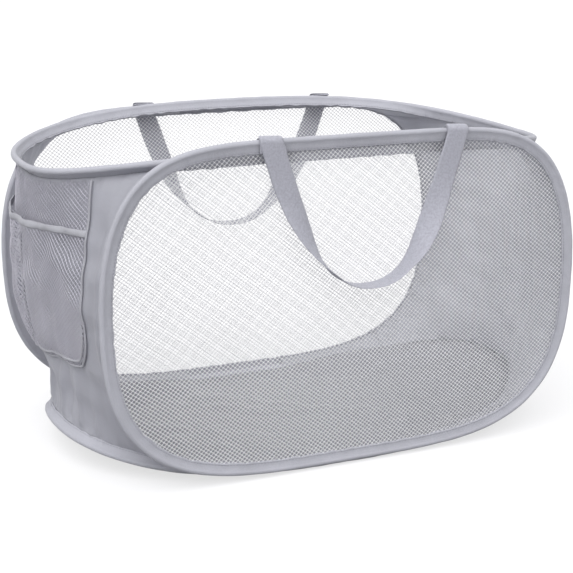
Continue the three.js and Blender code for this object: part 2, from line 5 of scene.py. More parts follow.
import bpy
import numpy as np
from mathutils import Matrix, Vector


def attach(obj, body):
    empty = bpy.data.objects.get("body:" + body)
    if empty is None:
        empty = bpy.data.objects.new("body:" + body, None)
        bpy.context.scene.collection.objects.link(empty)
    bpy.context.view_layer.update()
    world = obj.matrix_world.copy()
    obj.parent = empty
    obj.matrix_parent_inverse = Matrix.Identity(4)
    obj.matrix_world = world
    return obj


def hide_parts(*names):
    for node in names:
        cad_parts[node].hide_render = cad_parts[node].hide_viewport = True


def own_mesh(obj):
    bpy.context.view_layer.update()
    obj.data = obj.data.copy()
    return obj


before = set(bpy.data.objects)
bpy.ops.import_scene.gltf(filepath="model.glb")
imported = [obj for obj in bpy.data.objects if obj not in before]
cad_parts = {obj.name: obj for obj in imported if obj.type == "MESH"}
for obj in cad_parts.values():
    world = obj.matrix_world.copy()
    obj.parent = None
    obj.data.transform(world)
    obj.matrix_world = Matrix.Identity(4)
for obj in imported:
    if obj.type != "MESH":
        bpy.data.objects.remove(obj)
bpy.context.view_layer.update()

full_turn = 2 * pi
upward = np.array([0.0, 0.0, 1.0])
backward = np.array([0.0, 1.0, 0.0])
leftward = np.array([-1.0, 0.0, 0.0])
halvings = 40
curve_samples = 3600
tangent_step = 1e-3
ripple_count = 14
swell_count = 24

# Camera, from the photograph
camera_place = (-0.61976, -1.38998, 0.55814)
camera_forward = (0.395561, 0.882635, -0.253944)
camera_lens = 84.55
sensor_width = 36.0
camera_clip = 100

# Hoops, as in the part's source
nest_reach = 0.0073
nest_angle = radians(31)
nest_depth = nest_reach * cos(nest_angle)
nest_height = nest_reach * sin(nest_angle)
tape_nose = 0.0035
fit = 0.0003
panel_spacing = 0.3393
panel_half_height = 0.175
front_half_length = 0.2733
front_shift = 0.0042
back_half_length = 0.2894
back_shift = 0.0012
panel_flare = 0.0034
panel_top_powers = (5.7, 2.2)
panel_foot_powers = (3.9, 2.7)
front_depth = -panel_spacing / 2
back_depth = panel_spacing / 2
back_foot = tape_nose
front_foot = back_foot + nest_height
back_top = back_foot + 2 * panel_half_height
front_top = front_foot + 2 * panel_half_height
rim_half_length = 0.3029
rim_powers = (2.3, 2.75)
rim_front_gap = 0.0055
rim_drop = 0.012
rim_droop = 0.0255
droop_power = 2.8
twist_shares = (0.6, 0.24)
back_lean = radians(38)
end_lean = radians(40)
end_lean_shares = (0.45, 0.3)
rim_front_depth = front_depth + rim_front_gap
rim_back_depth = back_depth - nest_depth
rim_centre_depth = (rim_front_depth + rim_back_depth) / 2
rim_half_depth = (rim_back_depth - rim_front_depth) / 2
base_half_length = 0.2864
base_shift = 0.0066
base_powers = (2.8, 2.4)
base_rise = 0.0323
base_rise_power = 3.1
base_front_depth = front_depth + nest_depth
base_back_depth = back_depth - nest_reach
base_centre_depth = (base_front_depth + base_back_depth) / 2
base_half_depth = (base_back_depth - base_front_depth) / 2
base_tilt = radians(58)
base_tilt_shares = (0.15, 0.45)

# Binding tape in section, distances inward along its legs and across them
roll_radius = 0.0034
hollow_radius = 0.00275
leg_points = [
    (0.0106, 0.00072), (0.01065, 0.00105), (0.0104, 0.00134), (0.0092, 0.00146), (0.0088, 0.00128),
    (0.0084, 0.00146), (0.0064, 0.00158), (0.0046, 0.00188), (0.0032, 0.00236),
]
slot_points = [(0.0034, 0.00095), (0.0044, 0.00058), (0.0106, 0.00055)]
roll_start = radians(50)
hollow_start = radians(35)
roll_steps = 9
hollow_steps = 5
binding_stations = 760
stitch_line = 0.0088
stitch_stand = 0.0015
stitch_length = 0.0027
stitch_gap = 0.0009
thread_radius = 0.00024
stitch_shares = (0.0, 0.25, 0.75, 1.0)
stitch_heights = (-0.2, 1.0, 1.0, -0.2)
stitch_widths = (0.25, 1.0, 1.0, 0.25)
stitch_sides = 4
stitch_wave_share = 0.75

# Puckers of the tape: seed and size round each hoop; waves are the shortest and longest of a kind
puckers = {"base": (7, 1.5), "front": (107, 1.0), "back": (207, 1.0), "rim": (307, 1.3)}
leg_start = 0.003
leg_span = 0.0075
leg_face = 0.0009
pucker_height = 0.00018
pucker_waves = (0.018, 0.06)
fine_height = 0.00012
fine_waves = (0.006, 0.014)
sway = 0.00030
sway_waves = (0.012, 0.04)
roll_swell_share = 0.022
roll_waves = (0.02, 0.09)

# Knitted nets: a centred lattice with a hole at each point
lattice_along = np.array([0.00279, -0.00219])
lattice_across = np.array([-0.00235, -0.00255])
hole_share = 0.84
hole_round_share = 0.22
knot_height = 0.0003
net_inset = 0.0056
net_free = (0.008, 0.05)
net_swell = 0.0010
net_swell_waves = (0.08, 0.3)
net_drift = 0.0004
net_drift_waves = (0.10, 0.30)
net_reach = 0.31
lattice_step = 0.0024

# Straps and tabs
strap_width = 0.025
strap_thickness = 0.0014
strap_drop = 0.155
strap_power = 2.4
strap_end_shares = (0.97, 0.03)
strap_samples = 4001
strap_turn_shares = (0.92, 0.35)
strap_stand_off = 0.009
tab_thickness = 0.001
tab_drop = 0.011
crown_wrap = radians(92)
crown_rings = 14
crown_tilt = 0.045
front_tab_wrap = radians(185)
back_tab_wrap = radians(110)
front_handle = (0.107, 0.016)
back_handle = (0.118, 0.008)
strap_stations = 240
strap_columns = 16
strap_wobble_share = 0.012
strap_wobbles = 9
selvedge_power = 8
selvedge_share = 0.1
tab_rows = 6
tab_wrap_rows = 22
tab_columns = 15

# Pocket and strip on the left end, in shares across and up the panel
end_width = 0.35
end_height = 0.29
pocket_front_share = 0.20
pocket_back_share = 0.86
pocket_foot_share = 0.262
pocket_foot_rise_share = 0.12
pocket_hem_share = 0.795
hem_crest_share = 0.55
hem_near_fall_share = 0.26
hem_far_fall_share = 0.05
hem_height_share = 0.024
strip_top_share = 0.985
pocket_bulge = 0.012
pocket_spread = 0.6
pocket_round_share = 0.9
pocket_over_share = 1.2
pocket_side_share = 0.5
pocket_side_power = 12
pocket_net_stretch = (1.25, 1.1)
pocket_near_corner = 0.042
pocket_far_corner = 0.010
piping_gap_share = 0.004
front_cord_share = pocket_front_share - piping_gap_share
back_cord_share = pocket_back_share + piping_gap_share
pocket_ridge = 0.0030
ridge_shares = (0.64, 0.04, 0.035)
ridge_rise = 3
pocket_wave = 0.0016
pocket_waves = (0.03, 0.1)
pocket_stand = 0.0022
pocket_foot_gap = 0.0015
pocket_net_reach = 0.14
net_middle_share = 0.62
side_margin_share = 0.003
hem_margin_share = 0.010
strip_stand = 0.0012
strip_wave = 0.0006
strip_waves = (0.02, 0.06)
hem_stand = 0.0026
hem_crown = 0.0009
hem_wave = 0.0004
hem_waves = (0.012, 0.03)
hem_rows = 9
hem_columns = 220
hem_size = (0.008, 0.2)
hem_thickness = 0.0012
cord_stand = 0.0018
cord_sides = 10
cord_end_share = 0.3
side_cord_radius = 0.0013
side_cord_flatness = 1.3
cord_start_share = 0.02
side_cord_rows = 150
foot_cord_radius = 0.0012
foot_cord_flatness = 1.4
foot_cord_insets = (0.0, 0.0062)
foot_cord_rows = 120
foot_far_share = 0.6
foot_turn_rows = 14
foot_end_share = 0.03
foot_end_rows = 8

# Base cloth
base_rings = 70
base_spokes = 320
base_flat_share = 0.72
base_ring_power = 0.85
base_lift_power = 1.2
base_low = 0.0007
base_lowest = 0.0006
base_held_share = 0.08
base_wave = 0.0016
base_waves = (0.05, 0.16)
base_turn = (0.6, 0.5)
base_fine_wave = 0.0008
base_fine_waves = (0.02, 0.06)
base_gather = 0.0009
base_gather_waves = (0.012, 0.03)
base_gather_share = 0.07
base_end_wave = 0.0035
base_end_shares = (0.45, 0.4)
base_end_waves = (0.05, 0.12)
base_end_turn = (0.9, 0.25)
cloth_inset = 0.0098
cloth_thickness = 0.0005

# End panels
end_rows = 144
end_columns = 176
end_levels = 4
relax_passes = 900
start_share = 1 / 12
end_side_inset = 0.0090
end_side_gap = 0.0019
end_reach = radians(50)
end_rim_reach = radians(33)
corner_turn = radians(27)
corner_rim_turn = radians(44)
corner_rows = 40
corner_columns = 9
end_span = 0.33
end_swell = 0.014
end_swell_power = 0.45
end_near_share = 0.28
end_far_share = 0.3
end_low_share = 0.38
end_far_swell = 0.006
far_swell_shares = (0.3, 0.35)
end_held = 0.008
end_soft = 0.06
end_wave = 0.0012
end_waves = (0.09, 0.26)
end_fine_wave = 0.0009
end_fine_waves = (0.03, 0.08)
gather_start = 0.012
gather_waves = (0.018, 0.05)
gather_spread = 0.12
tuck = 0.0008
tuck_start = 0.004
tuck_reach = 0.010
tuck_waves = (0.006, 0.012)
tuck_spread = 0.1
slant_share = 0.3
fold_shares = (0.05, 0.15)

# Gathers at the foot, top, near and far edges: seed, height and reach
end_gathers = ((2, 0.0011, 0.075), (3, 0.0008, 0.03), (4, 0.0010, 0.03), (5, 0.0010, 0.03))

# Folds of the ends: share across at the foot, lean, shares up of its start and fade, height, width share
end_folds = {
    -1: [
        (0.25, 0.02, 0.00, 0.06, 0.0022, 0.012), (0.325, 0.05, 0.00, 0.14, 0.0045, 0.011),
        (0.375, 0.02, 0.00, 0.05, 0.0020, 0.010), (0.45, -0.03, 0.00, 0.13, 0.0042, 0.011),
        (0.52, 0.02, 0.00, 0.06, 0.0022, 0.010), (0.62, 0.00, 0.00, 0.10, 0.0035, 0.014),
        (0.05, 0.03, 0.18, 0.60, 0.0024, 0.016), (0.13, -0.02, 0.30, 0.72, 0.0022, 0.014),
    ],
    1: [
        (0.10, 0.28, 0.10, 0.70, 0.0036, 0.018), (0.22, 0.30, 0.15, 0.75, 0.0042, 0.020),
        (0.38, 0.26, 0.05, 0.60, 0.0038, 0.022), (0.62, 0.12, 0.00, 0.45, 0.0036, 0.018),
        (0.80, -0.05, 0.00, 0.35, 0.0030, 0.014),
    ],
}

# Cloths: yarn, crumple and blotch sizes in metres, colours as the eye sees them
cloths = {
    "binding_cloth": dict(colour=(0.680, 0.682, 0.716), roughness=0.62, yarn=0.0006, yarn_height=0.00012,
                          crumple=0.0007, crumple_size=0.012),
    # The nylon's tone varies in long up-and-down streaks: painted satin sheen, on top of its real sheen
    # setting.
    "nylon_cloth": dict(colour=(0.730, 0.732, 0.760), roughness=0.40, yarn=0.00045, yarn_height=0.00005,
                        crumple=0.0016, crumple_size=0.045, directions="YZ", sheen=0.25, spread=0.07,
                        blotch=0.02, sheer=0.4, painted_sheen_streak=0.15),
    "base_cloth": dict(colour=(0.540, 0.542, 0.568), roughness=0.5, yarn=0.00045, yarn_height=0.00005,
                       crumple=0.0016, crumple_size=0.045, directions="XY", sheen=0.2, spread=0.03),
    "net_cord": dict(colour=(0.93, 0.93, 0.94), directions="XZ", spread=0.03, sheer=0.45),
    "pocket_cord": dict(colour=(0.740, 0.732, 0.775), directions="YZ", spread=0.03),
    "pocket_tape": dict(colour=(0.660, 0.662, 0.690), yarn=0.0005, yarn_height=0.0001, directions="YZ"),
    "webbing_cloth": dict(colour=(0.660, 0.661, 0.702), yarn=0.0009, yarn_height=0.00025,
                          crumple=0.0002, crumple_size=0.0016, spread=0.12, blotch=0.0022, sheen=0.2),
    "thread_cloth": dict(colour=(0.57, 0.573, 0.61), roughness=0.55, yarn_height=0.0001, directions="XZ"),
}
yarn_shade = 0.22
yarn_roughness = 0.12
sheer_gain = 1.25
tone_shares = (0.3, 0.7)
texture_turn = 20
steel_colour = (0.56, 0.57, 0.59)
steel_roughness = 0.35
steel_spread = 0.08
steel_blotch = 0.006

# Floor and light
floor_half = 30.0
floor_colour = (0.30, 0.30, 0.31)
floor_lift = 0.68
floor_roughness = 0.9
world_light = 0.78
lamps = {"key": ((-1.9, -2.0, 3.7), 55, 2.35), "fill": ((0.9, -3.0, 1.8), 70, 0.35)}


def smooth(share):
    share = np.clip(share, 0.0, 1.0)
    return share * share * (3 - 2 * share)


def unit(vectors):
    return vectors / np.linalg.norm(vectors, axis=-1, keepdims=True)


def outline(angles, powers):
    """Points of a rounded outline, from -1 to 1 each way."""
    across, along = np.abs(np.cos(angles)), np.abs(np.sin(angles))
    low, high = np.zeros(len(angles)), np.full(len(angles), 2.0)
    for _ in range(halvings):
        middle = (low + high) / 2
        inside = (middle * across) ** powers[0] + (middle * along) ** powers[1] < 1
        low = np.where(inside, middle, low)
        high = np.where(inside, high, middle)
    return low * np.cos(angles), low * np.sin(angles)


def ramp(value, shares):
    """0 up to the first share, rising smoothly to 1 over the second."""
    return smooth((value - shares[0]) / shares[1])


def upright_hoop(half_length, shift, depth, foot):
    def curve(angles):
        x_top, z_top = outline(angles, panel_top_powers)
        x_foot, z_foot = outline(angles, panel_foot_powers)
        above = np.sin(angles) > 0
        x, z = np.where(above, x_top, x_foot), np.where(above, z_top, z_foot)
        along = shift + x * (half_length + panel_flare * z)
        return np.stack([along, np.full(len(x), depth), foot + panel_half_height * (1 + z)], axis=1)
    return curve


front_hoop = upright_hoop(front_half_length, front_shift, front_depth, front_foot)
back_hoop = upright_hoop(back_half_length, back_shift, back_depth, back_foot)


def rim_hoop(angles):
    x, y = outline(angles, rim_powers)
    z = front_top + rim_drop * (y - 1) / 2 - rim_droop * np.abs(x) ** droop_power
    return np.stack([x * rim_half_length, rim_centre_depth + y * rim_half_depth, z], axis=1)


def base_hoop(angles):
    x, y = outline(angles, base_powers)
    z = tape_nose + base_rise * np.abs(x) ** base_rise_power
    return np.stack([base_shift + x * base_half_length, base_centre_depth + y * base_half_depth, z], axis=1)


def leg_upright(points, tangents):
    return unit(np.cross(tangents, backward))


def leg_level(points, tangents):
    return unit(np.cross(upward, tangents))


def leg_of_base(points, tangents):
    level = leg_level(points, tangents)
    up = unit(np.cross(tangents, level))
    share = np.abs(points[:, 0] - base_shift) / base_half_length
    angle = (base_tilt * ramp(share, base_tilt_shares))[:, None]
    return level * np.cos(angle) + up * np.sin(angle)


def leg_of_rim(points, tangents):
    level = leg_level(points, tangents)
    down = unit(np.cross(level, tangents))
    turned = ramp((points[:, 1] - rim_centre_depth) / rim_half_depth, twist_shares)
    outermost = ramp(-points[:, 0] / rim_half_length, end_lean_shares)
    angle = (pi / 2 - np.maximum(back_lean * turned, end_lean * outermost))[:, None]
    return level * np.cos(angle) + down * np.sin(angle)


def run_of(points):
    """Distance along a line of points."""
    return np.concatenate([[0.0], np.cumsum(np.linalg.norm(np.diff(points, axis=0), axis=1))])


def run_round(points):
    """Distance along a closed line of points, back to its first."""
    return run_of(np.concatenate([points, points[:1]]))


def even_angles(curve, start, end, shares):
    """Angles at shares of the curve's length from one angle to another."""
    angles = np.linspace(start, end, curve_samples)
    lengths = run_of(curve(angles))
    return np.interp(np.asarray(shares) * lengths[-1], lengths, angles)


class Stations:
    """Places round a hoop with the directions of its binding."""

    def __init__(self, curve, leg_of, count):
        angles = even_angles(curve, 0.0, full_turn, np.arange(count) / count)
        self.points = curve(angles)
        self.tangents = unit(curve(angles + tangent_step) - curve(angles - tangent_step))
        self.legs = leg_of(self.points, self.tangents)
        self.across = np.cross(self.tangents, self.legs)
        self.lengths = run_round(self.points)
        self.round = self.lengths[-1]


def ripple(around, seed, waves):
    """A closed wavy line of height about 1, round a hoop."""
    random = np.random.default_rng(seed)
    low, high = (log(size) for size in waves)
    turns = np.round(around.round / np.exp(random.uniform(low, high, ripple_count)))
    phases = random.uniform(0, full_turn, ripple_count)
    lines = np.sin(full_turn * turns[:, None] * around.lengths[None, :-1] / around.round + phases[:, None])
    return lines.sum(axis=0) / sqrt(ripple_count / 2)


def swells(u, v, seed, waves, turn=0.0, spread=pi):
    """A wavy surface of height about 1; turn and spread give the waves' directions."""
    random = np.random.default_rng(seed)
    low, high = (log(size) for size in waves)
    total = np.zeros(np.shape(u))
    for _ in range(swell_count):
        length = exp(random.uniform(low, high))
        angle = turn + random.uniform(-spread, spread)
        phase = random.uniform(0, full_turn)
        total += np.sin(full_turn * (u * cos(angle) + v * sin(angle)) / length + phase)
    return total / sqrt(swell_count / 2)


# Mesh making

def grid_faces(rows, columns, closed_rows=False, closed_columns=False):
    steps = np.arange(rows - 1 + closed_rows), np.arange(columns - 1 + closed_columns)
    i, j = (a.ravel() for a in np.meshgrid(*steps, indexing="ij"))
    below, beside = (i + 1) % rows, (j + 1) % columns
    corners = [i * columns + j, below * columns + j, below * columns + beside, i * columns + beside]
    return np.stack(corners, axis=-1), i, j


def volume_of(points, faces):
    a, b, c, d = (points[faces[:, k]] for k in range(4))
    return float((a * np.cross(b, c)).sum() + (a * np.cross(c, d)).sum()) / 6


def add_object(name, data):
    thing = bpy.data.objects.new(name, data)
    bpy.context.scene.collection.objects.link(thing)
    return thing


def add_mesh(name, points, faces, material, uv=None, shaded=True):
    mesh = bpy.data.meshes.new(name)
    mesh.from_pydata(points, [], faces)
    if uv is not None:
        layer = mesh.uv_layers.new(name="along_across")
        layer.uv.foreach_set("vector", uv.astype(np.float32).ravel())
    if shaded:
        mesh.shade_smooth()
    mesh.materials.append(material)
    return add_object(name, mesh)


def add_grid(name, grid, material, u, v, closed_rows=False, closed_columns=False, caps=None):
    """A sheet, tube or ring through a grid of points."""
    faces, i, j = grid_faces(*grid.shape[:2], closed_rows, closed_columns)
    corners = ((i, j), (i + 1, j), (i + 1, j + 1), (i, j + 1))
    uv = np.stack([np.stack([u[a], v[b]], -1) for a, b in corners], axis=1)
    points = grid.reshape(-1, 3)
    if closed_columns and volume_of(points, faces) < 0:
        faces, uv = faces[:, ::-1], uv[:, ::-1]
    if caps is not None:
        faces = np.concatenate([faces, caps])
        uv = np.concatenate([uv, np.zeros((len(caps), 4, 2))])
    return add_mesh(name, points, faces, material, uv)


def dress(piece, body, node=None):
    """Gives a piece its body, and hides the node that it stands for."""
    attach(piece, body)
    if node:
        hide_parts(node)
    return piece


def thicken(piece, thickness):
    modifier = piece.modifiers.new("Thickness", "SOLIDIFY")
    modifier.thickness = thickness
    modifier.offset = 0.0
    modifier.use_even_offset = False


# Materials

def put(value, socket):
    """Sets a shader input to a number or colour, or links it to another node's output."""
    if isinstance(value, bpy.types.NodeSocket):
        socket.id_data.links.new(value, socket)
    else:
        socket.default_value = value


def fill(node, **values):
    """Puts values at a node's inputs, an underscore standing for a space."""
    for name, value in values.items():
        put(value, node.inputs[name.replace("_", " ")])
    return node


def make(nodes, kind, **values):
    return fill(nodes.new("ShaderNode" + kind), **values)


def new_material(name, roughness, metallic=0.0, sheen=0.0, specular=0.5):
    material = bpy.data.materials.new(name)
    material.use_nodes = True
    nodes = material.node_tree.nodes
    shader = fill(nodes["Principled BSDF"], Roughness=roughness, Metallic=metallic,
                  Specular_IOR_Level=specular, Sheen_Weight=sheen, Sheen_Roughness=0.4)
    return material, nodes, shader


def linear(colour):
    return [(c / 12.92 if c <= 0.04045 else ((c + 0.055) / 1.055) ** 2.4) for c in colour]


def mottled(nodes, coordinates, colour, spread, size):
    """A colour that varies a little over the cloth."""
    noise = make(nodes, "TexNoise", Scale=1 / size, Detail=4, Vector=coordinates)
    tones = make(nodes, "ValToRGB", Fac=noise.outputs["Fac"])
    for stop, position, level in zip(tones.color_ramp.elements, tone_shares, (1 - spread, 1 + spread)):
        stop.position = position
        stop.color = (*(np.array(linear(colour)) * level), 1)
    return tones.outputs["Color"]


def band(nodes, coordinates, direction, pitch):
    wave = make(nodes, "TexWave", Scale=full_turn / texture_turn / pitch, Vector=coordinates)
    wave.wave_type = "BANDS"
    wave.bands_direction = direction
    wave.wave_profile = "SIN"
    return wave.outputs["Fac"]


def math_node(nodes, operation, first, second):
    node = make(nodes, "Math")
    node.operation = operation
    put(first, node.inputs[0])
    put(second, node.inputs[1])
    return node.outputs[0]


def fabric(name, colour, roughness=0.6, yarn=0.0004, yarn_height=0.00006, spread=0.05, blotch=0.04,
           crumple=0.0, crumple_size=0.02, directions=None, sheen=0.15, sheer=0.0, painted_sheen_streak=1.0):
    """Woven cloth: yarns both ways as bump and tone, soft blotches, which a streak stretch pulls into
    up-and-down streaks of painted sheen, and fine crumpling.
    """
    material, nodes, shader = new_material(name, roughness, sheen=sheen, specular=0.35)
    place = make(nodes, "TexCoord").outputs
    weave = math_node(nodes, "MAXIMUM", *(
        band(nodes, place["Object" if directions else "UV"], direction, yarn)
        for direction in directions or "XY"))
    # Tone noise stretched up and down: on the nylon these streaks are painted sheen.
    spots = make(nodes, "Mapping", Scale=(1.0, 1.0, painted_sheen_streak), Vector=place["Object"])
    grey = make(nodes, "CombineColor", Red=weave, Green=weave, Blue=weave)
    shade = make(nodes, "Mix", Factor=yarn_shade)
    shade.data_type = "RGBA"
    shade.blend_type = "MULTIPLY"
    put(mottled(nodes, spots.outputs[0], colour, spread, blotch), shade.inputs[6])
    put(grey.outputs[0], shade.inputs[7])
    rough = make(nodes, "MapRange", To_Min=min(1.0, roughness + yarn_roughness), To_Max=roughness,
                 Value=weave)
    bump = make(nodes, "Bump", Strength=0.6, Distance=yarn_height, Height=weave)
    if crumple:
        noise = make(nodes, "TexNoise", Scale=1 / crumple_size, Detail=5, Roughness=0.55,
                     Distortion=0.6, Vector=place["Object"])
        soft = make(nodes, "Bump", Strength=1.0, Distance=crumple, Height=noise.outputs["Fac"])
        fill(bump, Normal=soft.outputs["Normal"])
    fill(shader, Base_Color=shade.outputs[2], Roughness=rough.outputs[0], Normal=bump.outputs["Normal"])
    if sheer:
        bright = [min(1.0, c * sheer_gain) for c in linear(colour)]
        through = make(nodes, "BsdfTranslucent", Color=(*bright, 1))
        both = make(nodes, "MixShader", Fac=sheer)
        put(shader.outputs[0], both.inputs[1])
        put(through.outputs[0], both.inputs[2])
        put(both.outputs[0], nodes["Material Output"].inputs["Surface"])
    return material


looks = {name: fabric(name, **values) for name, values in cloths.items()}
drawn_steel, nodes, shader = new_material("drawn_steel", steel_roughness, metallic=1.0)
place = make(nodes, "TexCoord").outputs["Object"]
fill(shader, Base_Color=mottled(nodes, place, steel_colour, steel_spread, steel_blotch))

stations = {
    name: Stations(curve, leg_of, binding_stations) for name, curve, leg_of in (
        ("base", base_hoop, leg_of_base), ("front", front_hoop, leg_upright),
        ("back", back_hoop, leg_upright), ("rim", rim_hoop, leg_of_rim))
}
body_of_hoop = {"base": "bottom", "front": "front", "back": "back", "rim": "top"}


# Bindings

def arc(radius, start, end, steps):
    angles = [start + (end - start) * step / steps for step in range(steps + 1)]
    return [(radius * cos(angle), radius * sin(angle)) for angle in angles]


def binding_section():
    half = leg_points + arc(roll_radius, roll_start, pi, roll_steps)
    inner = arc(hollow_radius, pi, hollow_start, hollow_steps) + slot_points
    outside = half + [(l, -a) for l, a in reversed(half[:-1])]
    inside = [(l, -a) for l, a in reversed(inner)] + inner[1:]
    return np.array(outside + inside)


def add_binding(name, seed, pucker):
    around = stations[name]
    section = binding_section()
    wave, fine, swell, lateral = (
        ripple(around, seed + step, waves)
        for step, waves in enumerate((pucker_waves, fine_waves, roll_waves, sway_waves))
    )
    inward, across = (np.tile(column, (binding_stations, 1)) for column in section.T)
    leg_share = np.clip((inward - leg_start) / leg_span, 0, 1)
    outer = np.abs(across) > leg_face
    across = across + pucker_height * wave[:, None] * leg_share * pucker
    across = across + np.sign(across) * fine_height * fine[:, None] * leg_share * outer * pucker
    inward = inward + sway * lateral[:, None] * leg_share ** 3
    size = 1 + roll_swell_share * swell[:, None] * (1 - leg_share)
    inward = np.where(inward < leg_start, inward * size, inward)
    across = np.where(inward < leg_start, across * size, across)
    grid = (around.points[:, None] + around.legs[:, None] * inward[..., None]
            + around.across[:, None] * across[..., None])
    piece = add_grid(f"{name}_binding_tape", grid, looks["binding_cloth"], around.lengths,
                     run_round(section), True, True)
    dress(piece, body_of_hoop[name], f"{name}_binding")
    add_stitches(name, wave, pucker)
    for part in ("wire", "ferrule"):
        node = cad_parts[f"{name}_{part}"]
        node.data.materials.clear()
        node.data.materials.append(drawn_steel)


def add_stitches(name, wave, pucker):
    """Runs of short threads along both faces of a binding."""
    around = stations[name]
    count = int(around.round / (stitch_length + stitch_gap))
    starts = np.arange(count) * around.round / count
    heights = np.array(stitch_heights) * thread_radius
    at = starts[:, None] + np.array(stitch_shares)[None] * stitch_length

    def read(values):
        ends = np.concatenate([values, values[:1]]).T
        columns = [np.interp(at % around.round, around.lengths, column) for column in ends]
        return np.stack(columns, axis=-1)

    points, legs, across = read(around.points), unit(read(around.legs)), unit(read(around.across))
    waves = read(wave[:, None])[..., 0]
    rings = []
    angles = full_turn * (np.arange(stitch_sides) + 0.5) / stitch_sides
    thin = (np.array(stitch_widths) * thread_radius)[None, :, None, None]
    wide, high = np.cos(angles)[None, None, :, None] * thin, np.sin(angles)[None, None, :, None] * thin
    for face in (1, -1):
        middle = face * (stitch_stand + heights[None])
        middle = middle + pucker_height * waves * stitch_wave_share * pucker
        centre = points + legs * stitch_line + across * middle[..., None]
        rings.append(centre[:, :, None] + legs[:, :, None] * wide + across[:, :, None] * high)
    rings = np.concatenate(rings)
    one = rings.shape[1] * stitch_sides
    firsts = (np.arange(len(rings)) * one)[:, None]
    sides = (grid_faces(rings.shape[1], stitch_sides, False, True)[0] + firsts[..., None]).reshape(-1, 4)
    corners = np.arange(stitch_sides)
    faces = np.concatenate([sides, firsts + corners[::-1], firsts + one - stitch_sides + corners])
    piece = add_mesh(f"{name}_binding_stitches", rings.reshape(-1, 3), faces, looks["thread_cloth"])
    dress(piece, body_of_hoop[name])


for hoop, (seed, pucker) in puckers.items():
    add_binding(hoop, seed, pucker)


# Nets

def inset_of(edge, spots):
    """Distance of flat points from a closed edge, negative outside."""
    nearest = np.full(len(spots), np.inf)
    inside = np.zeros(len(spots), bool)
    ends = np.roll(edge, -1, axis=0)
    for start, end in zip(edge, ends):
        along = end - start
        offset = spots - start
        share = np.clip(offset @ along / (along @ along), 0, 1)
        nearest = np.minimum(nearest, np.linalg.norm(offset - share[:, None] * along, axis=1))
        crosses = (start[1] > spots[:, 1]) != (end[1] > spots[:, 1])
        if start[1] != end[1]:
            at = start[0] + (spots[:, 1] - start[1]) / (end[1] - start[1]) * along[0]
            inside ^= crosses & (spots[:, 0] < at)
    return np.where(inside, nearest, -nearest)


def lattice_cells(reach, kept):
    """A flat net with rounded holes: its points, its faces, and 1 for each knot."""
    count = int(reach / lattice_step)
    steps = np.arange(-count, count)
    i, j = (a.ravel() for a in np.meshgrid(steps, steps, indexing="ij"))
    centres = i[:, None] * lattice_along + j[:, None] * lattice_across
    for test in (lambda c: np.abs(c).max(axis=1) < reach, kept):
        stay = test(centres)
        i, j, centres = i[stay], j[stay], centres[stay]
    width = 2 * count + 2
    signs = [(-1, -1), (1, -1), (1, 1), (-1, 1)]
    ids = np.stack([(i + count + (a + 1) // 2) * width + j + count + (b + 1) // 2 for a, b in signs], 1)
    unique, where = np.unique(ids, return_inverse=True)
    where = where.reshape(ids.shape)
    knots = np.zeros((len(unique), 2))
    for k, (a, b) in enumerate(signs):
        knots[where[:, k]] = centres + a / 2 * lattice_along + b / 2 * lattice_across
    holes = []
    own = 1 - hole_round_share
    for k, (a, b) in enumerate(signs):
        for c, d in (signs[k - 1], signs[(k + 1) % 4]):
            over, up = a * own + c * hole_round_share, b * own + d * hole_round_share
            holes.append(centres + hole_share / 2 * (over * lattice_along + up * lattice_across))
    holes = np.stack(holes, 1)
    hole_ids = len(unique) + np.arange(len(centres) * 8).reshape(-1, 8)
    faces, corners = [], []
    for k in range(4):
        after = (k + 1) % 4
        left, right = hole_ids[:, 2 * k + 1], hole_ids[:, 2 * after]
        faces.append(np.stack([where[:, k], where[:, after], right, left], 1))
        corners.append(np.stack([where[:, k], left, hole_ids[:, 2 * k]], 1))
    knotted = np.zeros(len(unique) + len(centres) * 8)
    knotted[:len(unique)] = 1.0
    every = [tuple(face) for face in np.concatenate(faces).tolist() + np.concatenate(corners).tolist()]
    return np.concatenate([knots, holes.reshape(-1, 2)]), every, knotted


def add_net(name, shift, depth, foot, seed):
    edge = stations[name].points[::2, [0, 2]]
    middle = np.array([shift, foot + panel_half_height])
    spots, faces, knotted = lattice_cells(net_reach, lambda c: inset_of(edge, c + middle) > net_inset)
    inset = inset_of(edge, spots + middle)
    free = ramp(inset, net_free)
    u, v = spots.T
    x = u + net_drift * free * swells(u, v, seed, net_drift_waves)
    z = v + net_drift * free * swells(u, v, seed + 1, net_drift_waves)
    y = net_swell * free * swells(u, v, seed + 2, net_swell_waves) - knot_height * knotted
    points = np.stack([middle[0] + x, depth + y, middle[1] + z], axis=1)
    piece = add_mesh(f"{name}_net_cloth", points, faces, looks["net_cord"], shaded=False)
    dress(piece, body_of_hoop[name], f"{name}_net")


add_net("front", front_shift, front_depth, front_foot, 21)
add_net("back", back_shift, back_depth, back_foot, 31)


# Base cloth

